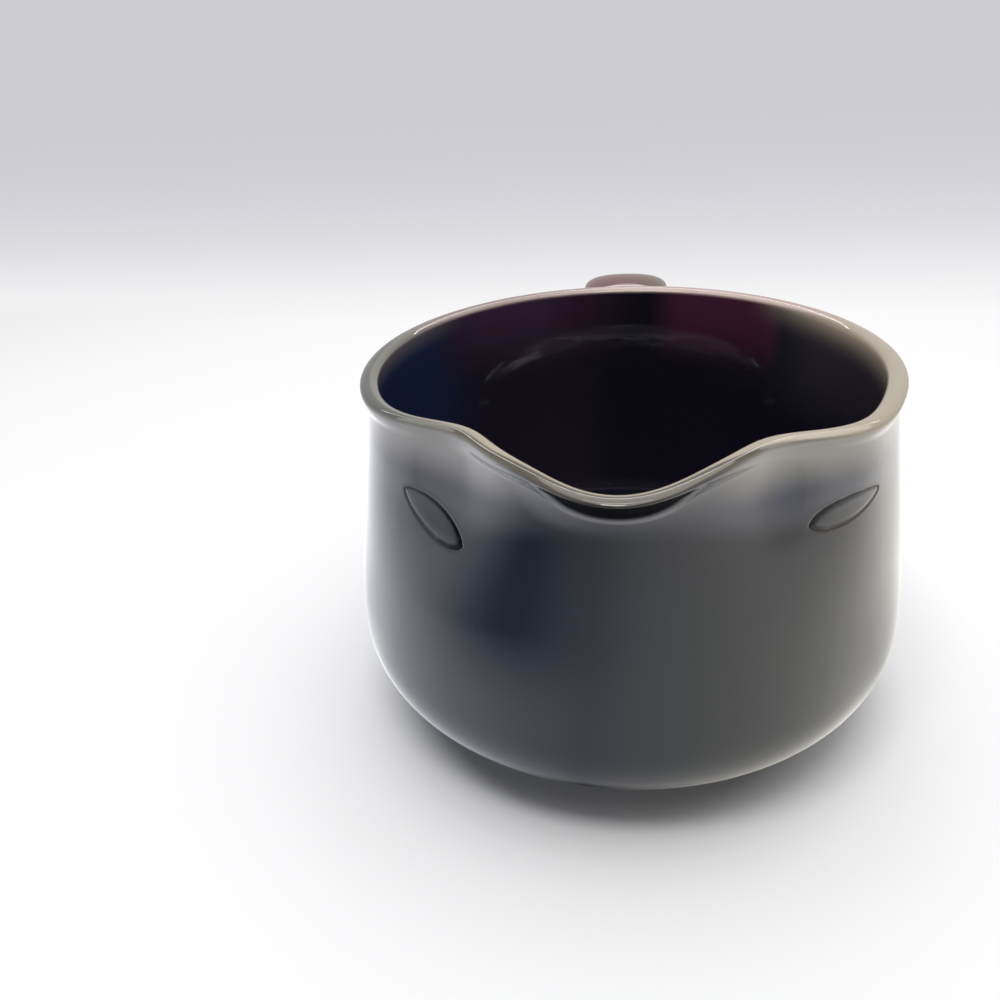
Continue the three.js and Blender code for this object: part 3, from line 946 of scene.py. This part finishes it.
buff = (0.270, 0.165, 0.100)
buff_light = (0.360, 0.235, 0.150)
grain_brown = (0.190, 0.120, 0.080)
iron_speck = (0.050, 0.032, 0.025)
grain_scale = 900
patch_scale = 70
speck_scale = 700.0
speck_size = (0.22, 0.10)
clay_rough = 0.75
grain_rough = 0.15
grain_relief = 0.12 * mm


def clay_material():
    """Bare fired stoneware: matt, fine grained, with dark iron specks."""
    material, tree, surface, place = shader("bare_clay")
    grain = noise(tree, place, grain_scale, detail=4.0, roughness=0.7)
    patch = noise(tree, place, patch_scale, detail=3.0)
    speck = put(tree, "ShaderNodeTexVoronoi", place, None, speck_scale).outputs[0]
    colour = blend_colours(tree, patch, buff, buff_light)
    colour = blend_colours(tree, times(tree, grain, 0.5), colour, grain_brown)
    colour = blend_colours(tree, ramp(tree, speck, *speck_size), colour, iron_speck)
    rough = work_out(tree, "MULTIPLY_ADD", grain, grain_rough, clay_rough)
    tree.links.new(colour, surface.inputs["Base Color"])
    tree.links.new(rough, surface.inputs["Roughness"])
    bump = put(tree, "ShaderNodeBump")
    bump.inputs["Distance"].default_value = grain_relief
    tree.links.new(grain, bump.inputs["Height"])
    tree.links.new(bump.outputs[0], surface.inputs["Normal"])
    return material


bare_clay = clay_material()
foot = lathe("turned_foot", foot_section, True, foot_turns)
foot.data.materials.append(bare_clay)
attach(foot, "root")
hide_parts("foot_ring")

# The bowl itself: stoneware thrown in one, wall and floor, with the coats of glaze fused to it. Nothing
# of it shows but a hairline above the foot, so its solid stays as it is and takes the bare clay.
for clay_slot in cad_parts["bowl"].material_slots:
    clay_slot.material = bare_clay

# The glaze in the hollow under the foot: a pool of the same glaze, poured in and turned out, so that it
# lies in low rings and draws back from the foot.
well_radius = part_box("glaze_well")[1].x
well_low, well_high = (corner.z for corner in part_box("glaze_well"))
well_ripple = 0.12 * mm
well_ripples = 3
well_turns = 160
well_share = np.linspace(0, 1, 24)
well_face = well_low + well_ripple * (1 - np.cos(well_share * math.pi * well_ripples)) / 2
well_section = np.vstack([
    np.column_stack([well_share * well_radius, well_face]),
    [[well_radius, well_high], [0, well_high]],
])
well = lathe("well_glaze", well_section, False, well_turns, lining=0, rim_place=-1, crevice=0)
well.data.materials.append(black_glaze)
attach(well, "root")
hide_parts("glaze_well")

# The table is a large sheet of white card, lit from above. It is white round the pot and falls off to a
# pale lavender grey far from it. In the glaze it is mirrored as in the photograph: bright at both sides
# of the pot, dark towards the left of the lip, and dimmer behind.
floor_reach = 14.0
floor_steps = 96
card_white = (0.93, 0.93, 0.935)
card_rough = 0.9
far_grey = (0.612, 0.604, 0.651)
white_until = 0.213
white_fade = 0.12
far_out = (0.4, 1.8)
camera_grey = (-0.05, 0.35)

# The dark part of the mirrored card: its direction from the lip, how wide it is, how far out it begins,
# and how dim the card is all round
dim_angle = math.radians(-39)
dim_spread = math.radians(27)
dim_depth = 0.87
dim_out = (75 * mm, 150 * mm)
front_dim = 0.20
card_dimmed = (0.02, 0.025, 0.035)

# The bright sides: no added light straight ahead, and more to each side up to a widest angle, but less
# behind and close to the foot
front_angle = math.radians(-10)
side_rise = 0.68
side_angle = math.radians(100)
side_cool = (0.97, 0.98, 1.04)
side_warm = (1.0, 0.95, 0.84)
warm_angles = (math.radians(-30), math.radians(30))
back_loss = 0.6
right_back = (math.radians(100), math.radians(140))
left_back = (math.radians(-140), math.radians(-175))
near_out = (55 * mm, 110 * mm)
near_side = (math.radians(75), side_angle)


def floor_disc():
    """A flat disc under the pot."""
    angles = np.linspace(0, 2 * math.pi, floor_steps, endpoint=False)
    mesh = bpy.data.meshes.new("table")
    points = [(floor_reach * math.cos(a), floor_reach * math.sin(a), 0) for a in angles]
    mesh.from_pydata(points, [], [list(range(floor_steps))])
    disc = bpy.data.objects.new("table", mesh)
    bpy.context.scene.collection.objects.link(disc)
    return disc


def card_material():
    """White card, grey far off, with its own brightness where it is mirrored in the glaze."""
    material = bpy.data.materials.new("white_card")
    material.use_nodes = True
    tree = material.node_tree
    surface = tree.nodes["Principled BSDF"]
    place = put(tree, "ShaderNodeTexCoord").outputs["Object"]
    x, y, _ = put(tree, "ShaderNodeSeparateXYZ", place).outputs
    light_path = put(tree, "ShaderNodeLightPath").outputs
    seen, mirrored = light_path["Is Camera Ray"], light_path["Is Glossy Ray"]

    # White near the pot, grey far behind it and far off all round
    past = work_out(tree, "MAXIMUM", less(tree, y, white_until), 0.0)
    grey = less(tree, 1.0, work_out(tree, "EXPONENT", work_out(tree, "DIVIDE", past, -white_fade)))
    far = put(tree, "ShaderNodeVectorMath", place, operation="LENGTH").outputs["Value"]
    grey = work_out(tree, "MAXIMUM", grey, ramp(tree, far, *far_out))

    # Direction from the turning axis, from the front towards the right, and distance out
    ahead = less(tree, axis_y, y)
    turn = work_out(tree, "ARCTAN2", x, ahead)
    out = work_out(tree, "SQRT", work_out(tree, "MULTIPLY_ADD", x, x, times(tree, ahead, ahead)))

    # The lit card, dimmed where it is mirrored
    apart = work_out(tree, "DIVIDE", less(tree, turn, dim_angle), dim_spread)
    dark = work_out(tree, "EXPONENT", times(tree, apart, apart, -1.0))
    bright = less(tree, 1.0, times(tree, dark, dim_depth, ramp(tree, out, *dim_out)))
    dim = times(tree, less(tree, 1.0, times(tree, bright, 1 - front_dim)), mirrored)
    colour = blend_colours(tree, grey, card_white, far_grey)
    tree.links.new(blend_colours(tree, dim, colour, card_dimmed), surface.inputs["Base Color"])
    surface.inputs["Roughness"].default_value = card_rough
    surface.inputs["Specular IOR Level"].default_value = 0.0

    # The light that is added to it at both sides, where it is mirrored
    aside = work_out(tree, "ABSOLUTE", less(tree, turn, front_angle))
    aside = work_out(tree, "MINIMUM", aside, side_angle)
    behind = work_out(tree, "MAXIMUM", ramp(tree, turn, *right_back), ramp(tree, turn, *left_back))
    near = times(tree, less(tree, 1.0, ramp(tree, out, *near_out)), ramp(tree, aside, *near_side))
    loss = work_out(tree, "MAXIMUM", behind, near)
    side = times(tree, aside, side_rise, work_out(tree, "MULTIPLY_ADD", loss, -back_loss, 1.0))
    side_light = put(tree, "ShaderNodeEmission")
    side_colour = blend_colours(tree, ramp(tree, turn, *warm_angles), side_cool, side_warm)
    tree.links.new(side_colour, side_light.inputs["Color"])
    tree.links.new(times(tree, side, bright, mirrored), side_light.inputs["Strength"])
    lit = put(tree, "ShaderNodeAddShader", surface.outputs[0], side_light.outputs[0]).outputs[0]

    # Seen by the camera, the far card is as bright as it is coloured
    own = put(tree, "ShaderNodeEmission")
    tree.links.new(blend_colours(tree, grey, (1, 1, 1), far_grey), own.inputs["Color"])
    share = times(tree, seen, ramp(tree, grey, *camera_grey))
    mixed = put(tree, "ShaderNodeMixShader", share, lit, own.outputs[0])
    tree.links.new(mixed.outputs[0], tree.nodes["Material Output"].inputs["Surface"])
    return material


table = floor_disc()
table.data.materials.append(card_material())

# The light: an even pale room, one broad soft lamp above and a smaller one before the pot. The room that
# the glaze mirrors is brighter, goes dark towards the front, and has three long narrow strips across
# it, which draw the fine bright lines along the lip.
room_colour = (0.80, 0.82, 1.20)
room_light = 0.015
mirrored_colour = (0.97, 0.97, 1.0)
room_mirrored = 0.80
dark_front = (0.25, 0.75)
dark_share = 0.12
strip_half = math.radians(1.3)
strip_ends = (0.45, 0.55)
strips = [
    (math.radians(50), 26.0),
    (math.radians(92), 24.0),
    (math.radians(139), 12.0),
]


def fading(tree, value, start, end, high, low):
    """A high value up to a start and a low one from an end on, smooth between."""
    node = put(tree, "ShaderNodeMapRange", value, start, end, high, low, interpolation_type="SMOOTHSTEP")
    return node.outputs[0]


world = bpy.data.worlds.new("white_room")
bpy.context.scene.world = world
world.use_nodes = True
room = world.node_tree
backdrop = room.nodes["Background"]
backdrop.inputs["Color"].default_value = (*far_grey, 1)
lit = put(room, "ShaderNodeBackground", (*room_colour, 1), room_light)
toward = put(room, "ShaderNodeTexCoord").outputs["Object"]
to_right, to_back, to_top = put(room, "ShaderNodeSeparateXYZ", toward).outputs
to_front = times(room, to_back, -1.0)
walls_light = times(room, fading(room, to_front, *dark_front, 1.0, dark_share), room_mirrored)
rise = work_out(room, "ARCTAN2", to_top, to_front)
on_strip = fading(room, work_out(room, "ABSOLUTE", to_right), *strip_ends, 1.0, 0.0)
for strip_angle, strip_light in strips:
    off_strip = work_out(room, "ABSOLUTE", less(room, rise, strip_angle))
    strip = fading(room, off_strip, 0.0, strip_half, strip_light, 0.0)
    walls_light = work_out(room, "MULTIPLY_ADD", strip, on_strip, walls_light)
walls = put(room, "ShaderNodeBackground", (*mirrored_colour, 1), walls_light)
light_path = put(room, "ShaderNodeLightPath").outputs
sky = put(room, "ShaderNodeMixShader", light_path["Is Glossy Ray"], lit.outputs[0], walls.outputs[0])
sky = put(room, "ShaderNodeMixShader", light_path["Is Camera Ray"], sky.outputs[0], backdrop.outputs[0])
room.links.new(sky.outputs[0], room.nodes["World Output"].inputs["Surface"])


def soft_lamp(name, place, aim, size, power):
    """A flat rectangular lamp that faces a point."""
    lamp = bpy.data.lights.new(name, "AREA")
    lamp.shape = "RECTANGLE"
    lamp.size, lamp.size_y = size
    lamp.energy = power
    stand = bpy.data.objects.new(name, lamp)
    stand.location = place
    stand.rotation_euler = (Vector(aim) - Vector(place)).to_track_quat("-Z", "Y").to_euler()
    bpy.context.scene.collection.objects.link(stand)


pot_middle = (0, axis_y, 0.03)
soft_lamp("broad_lamp", place=(0.04, axis_y + 0.04, 0.63), aim=pot_middle, size=(1.10, 1.0), power=6.55)
soft_lamp("front_lamp", place=(-0.07, axis_y - 0.40, 0.90), aim=pot_middle, size=(0.50, 0.20), power=2.9)

# The camera stands in front of the lip and a little above the rim, close enough for strong perspective.
# Its place, turn and lens are those that bring the rim, the wall and the shadow onto the photograph's.
camera_out = 152.7 * mm
camera_height = 116.6 * mm
camera_turn = math.radians(7.98)
camera_down = math.radians(27.45)
camera_roll = math.radians(-3.33)
lens = bpy.data.cameras.new("camera")
lens.sensor_width = 36
lens.lens = 36
lens.clip_start = 0.01
lens.clip_end = 40
camera = bpy.data.objects.new("camera", lens)
camera.matrix_world = (
    Matrix.Translation((0, axis_y - camera_out, camera_height))
    @ Matrix.Rotation(camera_turn, 4, "Z")
    @ Matrix.Rotation(math.pi / 2 - camera_down, 4, "X")
    @ Matrix.Rotation(camera_roll, 4, "Z")
)
bpy.context.scene.collection.objects.link(camera)
bpy.context.scene.camera = camera
bpy.context.scene.view_settings.view_transform = "Standard"
